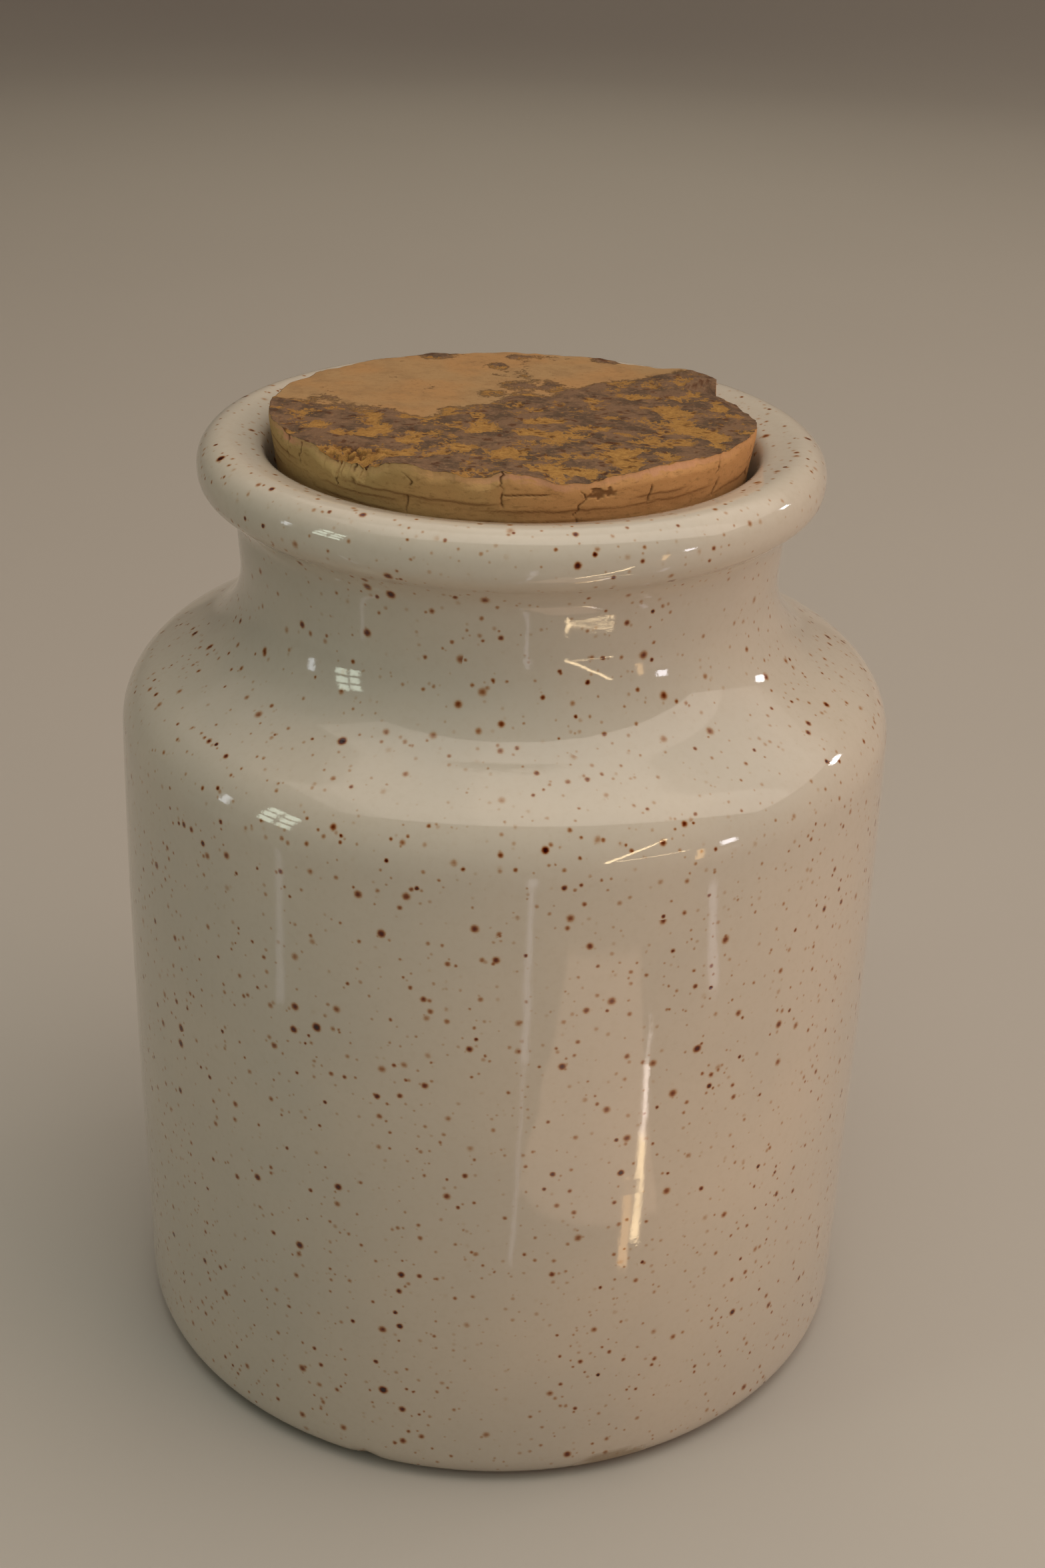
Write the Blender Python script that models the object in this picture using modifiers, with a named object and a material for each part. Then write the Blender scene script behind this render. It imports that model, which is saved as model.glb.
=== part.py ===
"""Food canister: a glazed stoneware jar with a rolled lip, closed by a tapered slab of natural cork.

Metres, +Z up. The origin is on the jar's axis, at the level it stands on.
"""

import math

import bmesh
import bpy

# Driving dimensions. A corner is where two straight stretches of the outline would meet,
# before it is rounded.
BASE_R = 0.0693
BASE_ROUND = 0.0054
BODY_R = 0.0702
BELLY_Z = 0.085
BELLY_ROUND = 2.1
SHOULDER_R = 0.06925
SHOULDER_Z = 0.1300
SHOULDER_ROUND = 0.0120
NECK_R = 0.0470
NECK_Z = 0.14275
NECK_ROUND = 0.0162
COVE_R = 0.0484
COVE_Z = 0.1631
COVE_ROUND = 0.0065
LIP_R = 0.0546
LIP_LOW_Z = 0.1670
LIP_LOW_ROUND = 0.0043
LIP_TOP_Z = 0.1767
LIP_TOP_ROUND = 0.0049
MOUTH_R = 0.0432
MOUTH_Z = 0.1736
MOUTH_ROUND = 0.0026

WALL = 0.0064
FLOOR_Z = 0.0076
FLOOR_ROUND = 0.009
INNER_SHOULDER_ROUND = 0.010
THROAT_ROUND = 0.005
FOOT_RING_W = 0.0075
FOOT_RECESS = 0.0016
FOOT_ROUND = 0.0006

CORK_TOP_R = 0.0422
CORK_TOP_Z = 0.1789
CORK_T = 0.0260
CORK_TAPER = 0.15  # radius lost for each metre of depth
CORK_TOP_TILT = 0.0307  # the top face falls this much for each metre towards the back
CORK_TOP_EASE = 0.0005
CORK_BOTTOM_ROUND = 0.0012
SEAT_LOW_Z = 0.1528
SEAT_HIGH_Z = 0.1640
FIT_GAP = 0.0003

# The blocks that cut the cork: a wide one for its top face, and a small one for each broken place
TOP_BLOCK_W = 0.12
TOP_BLOCK_T = 0.02
CHIP_BLOCK = 0.010
SPARE_SHARE = 1.2  # how far the uncut cork reaches past its sloping top, in shares of the slope's own rise

JAR_STEPS = 56
CORK_STEPS = 56
ARC_STEP = math.radians(18)
SHARP_ANGLE = math.radians(40)
MERGE_DIST = 0.00001

# Materials: linear colour, roughness, and clear coat
GLAZE = ((0.56, 0.50, 0.40), 0.18, 0.4)
CORK = ((0.42, 0.25, 0.11), 0.85, 0.0)

# Broken places along the cork's top edge: azimuth in degrees, width, depth, and reach in from the edge
EDGE_CHIPS = (
    (14.0, 0.022, 0.0014, 0.0030),
    (-102.0, 0.013, 0.0010, 0.0014),
    (-133.0, 0.011, 0.0012, 0.0016),
)


def clear_scene():
    for obj in list(bpy.data.objects):
        bpy.data.objects.remove(obj, do_unlink=True)


def new_collection(name):
    collection = bpy.data.collections.new(name)
    bpy.context.scene.collection.children.link(collection)
    return collection


def new_material(name, colour, roughness, coat):
    material = bpy.data.materials.new(name)
    material.use_nodes = True
    shader = material.node_tree.nodes["Principled BSDF"]
    shader.inputs["Base Color"].default_value = (*colour, 1.0)
    shader.inputs["Roughness"].default_value = roughness
    shader.inputs["Metallic"].default_value = 0.0
    shader.inputs["Coat Weight"].default_value = coat
    return material


def fillet(before, corner, after, radius):
    """Points of the arc of this radius that rounds the corner between two straight lines."""
    in_r, in_z = before[0] - corner[0], before[1] - corner[1]
    out_r, out_z = after[0] - corner[0], after[1] - corner[1]
    in_len, out_len = math.hypot(in_r, in_z), math.hypot(out_r, out_z)
    in_r, in_z = in_r / in_len, in_z / in_len
    out_r, out_z = out_r / out_len, out_z / out_len
    half = math.acos(in_r * out_r + in_z * out_z) / 2
    centre_dist = radius / math.sin(half)
    mid_r, mid_z = in_r + out_r, in_z + out_z
    mid_len = math.hypot(mid_r, mid_z)
    centre_r = corner[0] + mid_r / mid_len * centre_dist
    centre_z = corner[1] + mid_z / mid_len * centre_dist
    tangent = radius / math.tan(half)
    start = math.atan2(corner[1] + in_z * tangent - centre_z, corner[0] + in_r * tangent - centre_r)
    end = math.atan2(corner[1] + out_z * tangent - centre_z, corner[0] + out_r * tangent - centre_r)
    turn = math.remainder(end - start, math.tau)
    count = max(2, math.ceil(abs(turn) / ARC_STEP))
    angles = [start + turn * i / count for i in range(count + 1)]
    return [(centre_r + radius * math.cos(a), centre_z + radius * math.sin(a)) for a in angles]


def rounded(corners):
    """An outline through (r, z, radius) corners, with an arc at each corner that has a radius."""
    outline = []
    for i, (r, z, radius) in enumerate(corners):
        if radius == 0:
            outline.append((r, z))
        else:
            outline += fillet(corners[i - 1], (r, z), corners[i + 1], radius)
    return outline


def turned(name, outline, steps, material, collection):
    """A solid turned about Z from an outline that runs down its outer side."""
    guide_mesh = bpy.data.meshes.new(name + "_outline")
    points = [(r, 0.0, z) for r, z in outline]
    edges = [(i, i + 1) for i in range(len(points) - 1)]
    guide_mesh.from_pydata(points, edges, [])
    obj = bpy.data.objects.new(name, guide_mesh)
    collection.objects.link(obj)
    screw = obj.modifiers.new("turn", "SCREW")
    screw.axis = "Z"
    screw.steps = steps
    screw.render_steps = steps
    screw.use_merge_vertices = True
    screw.merge_threshold = MERGE_DIST
    obj.data.materials.append(material)
    return obj


def keep_shape(obj):
    """Turn an object's modifiers into its mesh, shaded smooth except at its sharp edges."""
    depsgraph = bpy.context.evaluated_depsgraph_get()
    mesh = bpy.data.meshes.new_from_object(obj.evaluated_get(depsgraph), depsgraph=depsgraph)
    obj.modifiers.clear()
    obj.data = mesh
    mesh.name = obj.name
    mesh.shade_smooth()
    mesh.set_sharp_from_angle(angle=SHARP_ANGLE)


def seat_radius(z):
    """The throat's radius where the cork seats: the cork's own taper, with room for the fit gap."""
    return CORK_TOP_R - CORK_TAPER * (CORK_TOP_Z - z) + FIT_GAP


def jar_inside():
    """Corners of the inside, from the middle of the floor up to the mouth."""
    inner_r = BODY_R - WALL
    throat_r = seat_radius(SEAT_LOW_Z)
    slope = (NECK_Z - SHOULDER_Z) / (SHOULDER_R - NECK_R)
    shoulder_z = SHOULDER_Z + slope * (SHOULDER_R - inner_r) - WALL * math.hypot(1.0, slope)
    neck_z = shoulder_z + slope * (inner_r - throat_r)
    return [
        (0.0, FLOOR_Z, 0),
        (inner_r, FLOOR_Z, FLOOR_ROUND),
        (inner_r, shoulder_z, INNER_SHOULDER_ROUND),
        (throat_r, neck_z, THROAT_ROUND),
        (throat_r, SEAT_LOW_Z, 0),
        (seat_radius(SEAT_HIGH_Z), SEAT_HIGH_Z, 0),
        (MOUTH_R, MOUTH_Z, MOUTH_ROUND),
    ]


def jar_outside():
    """Corners of the outside, from the top of the lip down to the middle of the base."""
    ring_inner_r = BASE_R - BASE_ROUND - FOOT_RING_W
    return [
        (LIP_R, LIP_TOP_Z, LIP_TOP_ROUND),
        (LIP_R, LIP_LOW_Z, LIP_LOW_ROUND),
        (COVE_R, COVE_Z, COVE_ROUND),
        (NECK_R, NECK_Z, NECK_ROUND),
        (SHOULDER_R, SHOULDER_Z, SHOULDER_ROUND),
        (BODY_R, BELLY_Z, BELLY_ROUND),
        (BASE_R, 0.0, BASE_ROUND),
        (ring_inner_r, 0.0, FOOT_ROUND),
        (ring_inner_r - 2 * FOOT_ROUND, FOOT_RECESS, FOOT_ROUND),
        (0.0, FOOT_RECESS, 0),
    ]


def make_jar(collection):
    glaze = new_material("speckled_cream_glaze", *GLAZE)
    outline = rounded(jar_inside() + jar_outside())
    jar = turned("jar", outline, JAR_STEPS, glaze, collection)
    keep_shape(jar)
    return jar


def make_cutter(name, size, location, rotation, collection):
    """A block, hidden from view, that a Boolean takes away."""
    mesh = bpy.data.meshes.new(name)
    shape = bmesh.new()
    bmesh.ops.create_cube(shape, size=1.0)
    bmesh.ops.scale(shape, vec=size, verts=shape.verts)
    shape.to_mesh(mesh)
    shape.free()
    cutter = bpy.data.objects.new(name, mesh)
    collection.objects.link(cutter)
    cutter.location = location
    cutter.rotation_euler = rotation
    cutter.hide_render = True
    cutter.display_type = "WIRE"
    return cutter


def top_cutter(collection):
    """A slab above the cork, whose under side is the sloping plane of the cork's top face."""
    angle = -math.atan(CORK_TOP_TILT)
    centre_y = -math.sin(angle) * TOP_BLOCK_T / 2
    centre_z = CORK_TOP_Z + math.cos(angle) * TOP_BLOCK_T / 2
    size = (TOP_BLOCK_W, TOP_BLOCK_W, TOP_BLOCK_T)
    return make_cutter("cork_top_cutter", size, (0.0, centre_y, centre_z), (angle, 0.0, 0.0), collection)


def chip_cutter(index, chip, collection):
    """A block that takes a shallow flake off the cork's top edge."""
    azimuth, width, depth, reach = chip
    angle = math.radians(azimuth)
    distance = CORK_TOP_R - reach + CHIP_BLOCK / 2
    edge_z = CORK_TOP_Z - CORK_TOP_TILT * CORK_TOP_R * math.sin(angle)
    location = (distance * math.cos(angle), distance * math.sin(angle), edge_z - depth + CHIP_BLOCK / 2)
    size = (CHIP_BLOCK, width, CHIP_BLOCK)
    return make_cutter("chip_cutter_%d" % index, size, location, (0.0, 0.0, angle), collection)


def cut_away(obj, cutter):
    cut = obj.modifiers.new(cutter.name, "BOOLEAN")
    cut.operation = "DIFFERENCE"
    cut.solver = "EXACT"
    cut.object = cutter


def make_cork(collection, cutter_collection):
    cork_material = new_material("natural_cork", *CORK)
    bottom_r = CORK_TOP_R - CORK_TAPER * CORK_T
    extra = CORK_TOP_TILT * CORK_TOP_R * SPARE_SHARE
    corners = [
        (0.0, CORK_T + extra, 0),
        (CORK_TOP_R + CORK_TAPER * extra, CORK_T + extra, CORK_TOP_EASE),
        (bottom_r, 0.0, CORK_BOTTOM_ROUND),
        (0.0, 0.0, 0),
    ]
    cork = turned("cork_stopper", rounded(corners), CORK_STEPS, cork_material, collection)
    cork.location = (0.0, 0.0, CORK_TOP_Z - CORK_T)
    cut_away(cork, top_cutter(cutter_collection))
    for index, chip in enumerate(EDGE_CHIPS):
        cut_away(cork, chip_cutter(index, chip, cutter_collection))
    bpy.context.view_layer.update()
    keep_shape(cork)
    return cork


def main():
    clear_scene()
    canister = new_collection("food_canister")
    cutters = new_collection("cutters")
    stand = bpy.data.objects.new("food_canister_origin", None)
    canister.objects.link(stand)
    for piece in (make_jar(canister), make_cork(canister, cutters)):
        piece.parent = stand


main()
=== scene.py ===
"""Looks of a food canister: a speckled stoneware jar closed by a slab of natural cork, on a pale floor.

The jar's and the cork's lengths are in millimetres until their meshes are made. The frame, the stage, the
lights and the camera are in metres. Azimuths are in degrees from +X.
"""

import math

import bmesh
import bpy
import numpy as np
from mathutils import Matrix, Vector


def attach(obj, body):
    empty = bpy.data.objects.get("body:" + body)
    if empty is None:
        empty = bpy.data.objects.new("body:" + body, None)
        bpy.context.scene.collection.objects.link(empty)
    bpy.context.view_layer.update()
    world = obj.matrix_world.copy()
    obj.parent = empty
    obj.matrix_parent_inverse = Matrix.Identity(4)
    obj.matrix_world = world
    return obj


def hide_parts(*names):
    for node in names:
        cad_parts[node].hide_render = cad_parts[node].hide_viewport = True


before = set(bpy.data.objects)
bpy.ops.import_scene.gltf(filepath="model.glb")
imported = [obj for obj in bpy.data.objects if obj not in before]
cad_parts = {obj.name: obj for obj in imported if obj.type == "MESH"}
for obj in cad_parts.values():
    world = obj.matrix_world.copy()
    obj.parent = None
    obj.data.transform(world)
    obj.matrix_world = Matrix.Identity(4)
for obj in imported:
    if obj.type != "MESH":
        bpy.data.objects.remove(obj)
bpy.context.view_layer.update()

MM = 0.001

# Shares of red, green and blue light that pass one measure of iron in the glaze
IRON_PASSES = (0.56, 0.30, 0.17)

# Iron spots, for each of three sizes: the cell that holds one, its smallest and largest radius, and its iron
FAINT_SPOTS, FAINT_IRON = (2.0, 0.19, 0.36), 0.9
MIDDLE_SPOTS, MIDDLE_IRON = (2.7, 0.22, 0.40), 2.6
BOLD_SPOTS, BOLD_IRON = (3.7, 0.26, 0.58), 6.0

# Colours of the glaze, the bare clay, the parts of the cork, and the floor
CREAM, GREY_CREAM, OATMEAL = (0.555, 0.480, 0.392), (0.515, 0.455, 0.378), (0.46, 0.375, 0.28)
DARK_CLAY, PALE_CLAY = (0.26, 0.19, 0.12), (0.40, 0.31, 0.21)
TAN, ORANGE_TAN = (0.355, 0.215, 0.100), (0.375, 0.205, 0.086)
DULL_TAN, TAN_FLECK, TAN_STAIN = (0.270, 0.158, 0.074), (0.20, 0.112, 0.050), (0.225, 0.130, 0.066)
OCHRE, DARK_OCHRE, OCHRE_PIT = (0.430, 0.225, 0.062), (0.300, 0.150, 0.044), (0.10, 0.045, 0.018)
BARK_BROWN, DARK_BARK = (0.205, 0.117, 0.067), (0.108, 0.066, 0.041)
PINK_BARK, BARK_PIT = (0.285, 0.166, 0.092), (0.055, 0.032, 0.021)
# The cork side's olive and orange are painted light: the cool cast of shade at the left, and warm light at
# the right
SHADED_SIDE_OLIVE, LIT_SIDE_ORANGE = (0.440, 0.290, 0.118), (0.520, 0.268, 0.106)
# The first colour here is painted shade, for the cork's side where it goes down into the jar's mouth
SIDE_THROAT_SHADE, SIDE_FLECK, SIDE_LINE = (0.255, 0.135, 0.055), (0.225, 0.118, 0.045), (0.14, 0.055, 0.020)
PINK_EDGE, CRACK_BROWN = (0.54, 0.275, 0.150), (0.080, 0.026, 0.010)
PALE_FLOOR, PALER_FLOOR = (0.44, 0.402, 0.358), (0.475, 0.437, 0.39)

# The jar's outline, in the CAD model's own dimensions: corners, and the arcs that round them
WALL = 6.4
BASE_R, BASE_ROUND = 69.3, 5.4
BODY_R, BELLY_Z, BELLY_ROUND = 70.2, 85.0, 2100.0
SHOULDER_R, SHOULDER_Z, SHOULDER_ROUND = 69.25, 130.0, 12.0
NECK_R, NECK_Z, NECK_ROUND = 47.0, 142.75, 16.2
COVE_R, COVE_Z, COVE_ROUND = 48.4, 163.1, 6.5
LIP_R, LIP_LOW_Z, LIP_LOW_ROUND = 54.6, 167.0, 4.3
LIP_TOP_Z, LIP_TOP_ROUND = 176.7, 4.9
MOUTH_R, MOUTH_Z, MOUTH_ROUND = 43.2, 173.6, 2.6
FLOOR_Z, FLOOR_ROUND = 7.6, 9.0
INNER_SHOULDER_ROUND, THROAT_ROUND = 10.0, 5.0
FOOT_RING_W, FOOT_RECESS, FOOT_ROUND = 7.5, 1.6, 0.6

# The cork
CORK_TOP_R, CORK_TOP_Z, CORK_T, CORK_TAPER = 42.2, 178.9, 26.0, 0.15
CORK_TILT_Y, CORK_TILT_X = -0.0307, -0.0046
SEAT_LOW_Z, SEAT_HIGH_Z, FIT_GAP = 152.8, 164.0, 0.3

# Where bark covers the cork's top: in front of a line through these (x, y) points, and on islands behind it.
# An island or a patch is its centre (x, y) and its half widths across and deep.
BARK_LINE = (
    (-43, 3),
    (-31, 2),
    (-28, -2),
    (-20, -1),
    (-15, -6),
    (-8, 1),
    (-3, 6),
    (3, 12),
    (12, 15),
    (17, 24),
    (36, 27),
)
BARK_ISLANDS = (
    (0, 20, 5.0, 6.0),
    (7, 18, 2.2, 6.0),
    (-4, 11, 3.0, 4.0),
    (-14, 38, 3.4, 3.0),
    (6, 39, 7.0, 2.6),
    (-3, 31, 1.6, 2.6),
    (20, 38, 5.0, 2.0),
)

# Where the bark is worn through to ochre cork
OCHRE_PATCHES = (
    (18, -24, 4.2, 5.0),
    (20, -31, 2.6, 4.0),
    (10, -15, 3.0, 2.2),
    (1, -15, 1.6, 2.6),
    (-6, -7, 1.5, 5.5),
    (-23, -8, 1.5, 4.5),
    (-33, -14, 3.8, 1.8),
    (-23, -17, 2.4, 4.5),
    (-17, -21, 2.2, 5.0),
    (-20, -30, 5.5, 2.0),
    (-10, -25, 3.2, 2.6),
    (0, -28, 2.8, 2.6),
    (5, -7, 2.8, 1.6),
    (27, 1, 1.8, 3.4),
    (30, -8, 2.8, 4.6),
    (34, -18, 2.2, 7.0),
    (25, -20, 3.2, 2.2),
    (9, -36, 6.5, 1.8),
    (20, 11, 4.6, 1.8),
    (31, 20, 2.2, 2.6),
    (36, 8, 1.8, 4.0),
)

# The cork's top edge, going round: azimuth, how far it is broken inwards, and how far up or down it stands
RIM = (
    (-180, 0.2, 0.0),
    (-157, 0.2, 0.2),
    (-152, 0.7, -0.3),
    (-143, 0.2, 0.3),
    (-136, 0.7, -0.3),
    (-132, 1.5, -1.1),
    (-126, 1.2, -0.9),
    (-122, 0.5, -0.6),
    (-118, 0.3, 0.3),
    (-112, 0.2, 0.8),
    (-107, 0.8, 0.0),
    (-102, -0.1, 0.6),
    (-99, 0.7, -0.2),
    (-95, 0.9, -0.1),
    (-92, 0.5, 0.9),
    (-84, 0.3, 0.4),
    (-79, 0.2, -0.8),
    (-73, 0.3, -1.0),
    (-68, 0.7, -0.3),
    (-59, 0.6, 0.3),
    (-50, 1.0, 0.7),
    (-42, 0.7, 0.2),
    (-25, 0.3, 0.1),
    (-6, 0.2, 0.1),
    (4, 0.8, -0.9),
    (27.5, 1.3, -1.3),
    (29.5, 0.2, 0.0),
    (60, 0.2, 0.1),
    (120, 0.3, -0.1),
    (180, 0.2, 0.0),
)

# How finely the jar's outline is divided, its turns, and the cork's rings and rows
ARC_STEP, STRAIGHT_STEP = 0.9, 1.7
JAR_TURNS = 288
CORK_TOP_RINGS, CORK_EDGE_RINGS, CORK_SIDE_ROWS, CORK_BOTTOM_RINGS = 80, 26, 96, 22
CORK_EDGE_R = 36.0  # the edge rings start here
CORK_FRONT = (-168.0, -12.0)  # azimuths between which the cork's cracks are seen
CORK_FRONT_STEP, CORK_BACK_STEP = 0.22, 0.8  # degrees between the cork's points, finer at the front
POLE_R = 0.5  # the first ring round a pole

# Throwing marks: how far slow waves and fine rings move the wall, and how far apart they are up it
SLOW_SWAY, SLOW_HEIGHT = 0.10, 23.0
RING_SWAY, RING_HEIGHT = 0.035, 7.0

# On the foot: a chip in the glaze (azimuth, height, radius, depth), and a bare patch (azimuth, height, half
# width in degrees, half height)
FOOT_CHIP = (-108.6, 1.6, 1.7, 0.9)
FOOT_PATCH = (-70.5, 2.6, 5.2, 2.2)
FOOT_BAND = 15.0  # bare clay reaches this far in from the base's radius

# The cork's cracks that are seen from the front: azimuth, top, bottom, and width in degrees
CRACKS = (
    (-152.5, 181.0, 175.5, 0.45),
    (-145.5, 181.0, 176.0, 0.35),
    (-132.5, 181.0, 174.5, 0.40),
    (-127.0, 179.5, 176.0, 0.70),
    (-113.0, 181.0, 173.0, 0.25),
    (-92.5, 181.5, 175.5, 0.30),
    (-75.0, 178.0, 172.0, 0.22),
    (-58.0, 181.0, 175.0, 0.22),
    (-36.5, 179.5, 173.0, 0.60),
)
LEVEL_CRACK_Z = 177.6
# A dark knot in the side: azimuth, height, half width in degrees, half height
KNOT = (-70.0, 177.4, 3.6, 0.85)
# Heights of the lines where the cork stopped growing each year
GROWTH_LINES = (176.3, 174.9, 173.2, 170.4, 167.0, 163.2, 159.0, 155.6)
PINK_PLACES = ((-86.0, 11.0), (-54.0, 15.0), (-153.0, 7.0))  # freshly broken edge: azimuth and width

# The stage: the radii of the floor's rings, how far and high its edge curves up, and the top of its wall
FLOOR_RADII = (0.02, 0.3, 0.8, 1.6)
SWEEP_R, STAGE_TOP = 1.2, 2.4
SWEEP_STEPS, STAGE_TURNS = 14, 96

# The camera: its place, its turns in radians, and its lens
CAMERA_PLACE = (0.0, -0.3655, 0.2875)
CAMERA_PITCH, CAMERA_ROLL, CAMERA_YAW = 0.4591, 0.0303, 0.0096
LENS, FILM_WIDTH = 50.0, 36.0

# Light colours, and the point that the fills and panes face
WARM_WHITE, DAYLIGHT = (1.0, 0.88, 0.77), (0.86, 1.0, 0.82)
LAMP, LILAC = (1.0, 0.74, 0.42), (0.94, 0.90, 1.0)
AIM = (0.0, 0.0, 0.10)

# The soft panel overhead: its front and right edges and its height, then each layer's left edge, back edge
# and watts per square metre. They stand a little apart, because a ray meets only one of two in one plane.
PANEL_FRONT_Y, PANEL_RIGHT_X, PANEL_Z = -0.55, 3.0, 1.25
PANEL_GAP = 0.01
PANEL_LAYERS = (
    (-1.9, 1.50, 0.46),
    (-1.1, 1.40, 0.52),
    (-0.6, 1.20, 1.40),
    (-0.1, 1.00, 1.00),
    (-0.9, 0.20, 2.55),
)

# Lights that brighten without showing in the gloss: place, width, height, watts, colour
FILLS = (
    ("front_fill", (0.06, -0.28, 0.40), 0.35, 0.35, 0.44, (0.80, 1.0, 0.98)),
    ("back_fill", (0.0, 1.4, 0.8), 0.6, 0.6, 1.3, (1.0, 1.0, 0.75)),
    ("warm_fill", (1.3, -0.8, 0.75), 0.9, 0.8, 4.0, (1.0, 0.60, 0.44)),
)

# A window at the left, of panes in columns and rows: its first pane, and the steps to the next
WINDOW_PLACE, WINDOW_STEPS = (-1.12, -0.600, 0.31), (0.14, 0.155)
WINDOW_COLUMNS, WINDOW_ROWS = 2, 3
PANE_W, PANE_H, PANE_WATTS = 0.10, 0.115, 0.24

# Other panes: place, width, height, watts, colour
PANES = (
    ("window_pane_far", (-1.12, -0.15, 0.30), 0.06, 0.20, 0.20, (0.88, 0.94, 1.0)),
    ("right_pane", (1.16, -0.59, 0.16), 0.10, 0.12, 0.5, (0.96, 0.93, 1.0)),
    ("right_pane_far", (1.10, 0.50, 0.52), 0.10, 0.08, 0.5, (0.96, 0.96, 1.0)),
    ("lamp_pane", (0.50, -0.38, 0.075), 0.025, 0.13, 0.06, (1.0, 0.60, 0.25)),
)

# Strips lying on the floor: start and end (x, y), width, watts, colour
GLINT_Z = 0.003
FLOOR_GLINTS = (
    ("streak_near", (0.068, -0.108), (0.096, -0.134), 0.0048, 0.0065, LAMP),
    ("streak_fringe", (0.058, -0.105), (0.079, -0.128), 0.0050, 0.0022, (1.0, 0.58, 0.26)),
    ("streak_middle", (0.086, -0.125), (0.118, -0.155), 0.004, 0.006, (1.0, 0.84, 0.76)),
    ("streak_far", (0.110, -0.148), (0.138, -0.174), 0.002, 0.0012, (1.0, 0.90, 0.84)),
    ("warm_patch", (0.050, -0.130), (0.115, -0.235), 0.085, 0.034, (1.0, 0.66, 0.46)),
    ("pale_line_near", (0.009, -0.126), (0.024, -0.205), 0.0024, 0.0006, LILAC),
    ("pale_line_middle", (0.024, -0.205), (0.045, -0.335), 0.007, 0.0042, LILAC),
    ("pale_line_far", (0.045, -0.335), (0.079, -0.557), 0.020, 0.022, LILAC),
    ("pale_line_right", (0.187, -0.126), (0.246, -0.167), 0.012, 0.004, LILAC),
    ("pale_line_left", (-0.180, -0.118), (-0.300, -0.172), 0.010, 0.003, LILAC),
)

# Strips close to the jar, seen in its gloss only: start, end, the point faced, width, watts
NECK_POINT, LIP_POINT = (0.013, -0.046, 0.158), (0.015, -0.052, 0.169)
NEAR_GLINTS = (
    ("neck_glint", (0.0340, -0.0933, 0.1290), (0.0544, -0.0815, 0.1287), NECK_POINT, 0.00025, 0.0006),
    ("lip_glint", (0.0304, -0.0930, 0.1284), (0.0586, -0.0914, 0.1488), LIP_POINT, 0.0016, 0.0030),
)


# ---------------------------------------------------------------- smooth noise on arrays of points


class Noise:
    """Smooth value noise in three dimensions, the same on every run."""

    SIZE = 32

    def __init__(self, seed):
        self.table = np.random.default_rng(seed).random((self.SIZE,) * 3) * 2.0 - 1.0

    def at(self, x, y, z):
        """Noise from -1 to 1 at points given in lattice steps."""
        cells, fades = [], []
        for value in (x, y, z):
            low = np.floor(value)
            part = value - low
            cells.append(low.astype(int))
            fades.append(part * part * (3.0 - 2.0 * part))
        total = 0.0
        for corner in range(8):
            weight, index = 1.0, []
            for axis in range(3):
                step = corner >> axis & 1
                weight = weight * (fades[axis] if step else 1.0 - fades[axis])
                index.append((cells[axis] + step) % self.SIZE)
            total = total + weight * self.table[tuple(index)]
        return total

    def layered(self, x, y, z, layers):
        """Several layers of noise, each half as large and half as strong as the one before."""
        total, strength = 0.0, 1.0
        for layer in range(layers):
            scale = 2.0**layer
            total = total + strength * self.at(x * scale + layer * 7.3, y * scale + layer * 3.1, z * scale)
            strength *= 0.5
        return total


def ease(low, high, value):
    """0 below low and 1 above high, with a smooth step between."""
    part = np.clip((value - low) / (high - low), 0.0, 1.0)
    return part * part * (3.0 - 2.0 * part)


def bump(value, centre, width):
    """1 at the centre, falling smoothly to 0 about one width away."""
    return np.exp(-(((value - centre) / width) ** 2))


def turn_between(azimuth, centre):
    """The angle from centre to azimuth, from -180 to 180 degrees."""
    return (azimuth - centre + 180.0) % 360.0 - 180.0


# ---------------------------------------------------------------- outlines and meshes


def fillet(before, corner, after, radius, arc_step):
    """Points of the arc of this radius that rounds the corner between two straight lines."""
    corner, before, after = np.array(corner), np.array(before), np.array(after)
    to_before = (before - corner) / np.linalg.norm(before - corner)
    to_after = (after - corner) / np.linalg.norm(after - corner)
    half = math.acos(to_before @ to_after) / 2
    middle = (to_before + to_after) / np.linalg.norm(to_before + to_after)
    centre = corner + middle * radius / math.sin(half)
    start_arm = corner + to_before * radius / math.tan(half) - centre
    end_arm = corner + to_after * radius / math.tan(half) - centre
    start = math.atan2(start_arm[1], start_arm[0])
    turn = math.remainder(math.atan2(end_arm[1], end_arm[0]) - start, math.tau)
    count = max(2, math.ceil(abs(turn) * radius / arc_step))
    angles = start + turn * np.arange(count + 1) / count
    return [tuple(centre + radius * np.array((math.cos(a), math.sin(a)))) for a in angles]


def rounded(corners, arc_step):
    """An outline through (r, z, radius) corners, with an arc at each corner that has a radius."""
    outline = []
    for i, (r, z, radius) in enumerate(corners):
        if radius == 0:
            outline.append((r, z))
        else:
            outline += fillet(corners[i - 1][:2], (r, z), corners[i + 1][:2], radius, arc_step)
    return outline


def divided(outline, step):
    """The same outline, with points added so that no stretch is longer than step."""
    points = [outline[0]]
    for (r0, z0), (r1, z1) in zip(outline[:-1], outline[1:]):
        count = max(1, math.ceil(math.hypot(r1 - r0, z1 - z0) / step))
        for i in range(1, count + 1):
            points.append((r0 + (r1 - r0) * i / count, z0 + (z1 - z0) * i / count))
    return np.array(points)


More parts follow.
